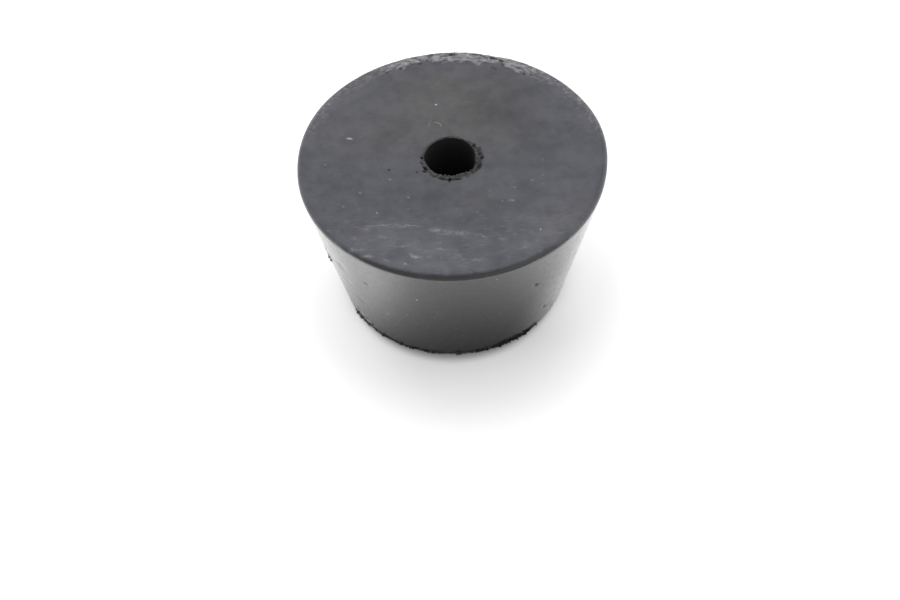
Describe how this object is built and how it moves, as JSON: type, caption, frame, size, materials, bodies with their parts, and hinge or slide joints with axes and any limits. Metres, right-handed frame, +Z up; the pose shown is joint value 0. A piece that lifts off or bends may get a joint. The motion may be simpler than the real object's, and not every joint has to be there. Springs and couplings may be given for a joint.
{
  "type": "rubber foot",
  "caption": "Tapered round rubber foot that stands on its narrow end, screwed on through a central hole with a recess for the screw's head.",
  "frame": {"origin": "centre of the narrow end, on the floor that the foot stands on", "axes": "+Z up along the foot's axis, out of the wide mounting face; the side that the view looks at faces -Y"},
  "size_m": [0.045, 0.045, 0.0245],
  "materials": {
    "rubber": "moulded black rubber, dull satin, lightly scuffed, torn at the rim and at the hole's mouth"
  },
  "bodies": {
    "root": {"rubber_foot": "rubber"}
  },
  "joints": []
}
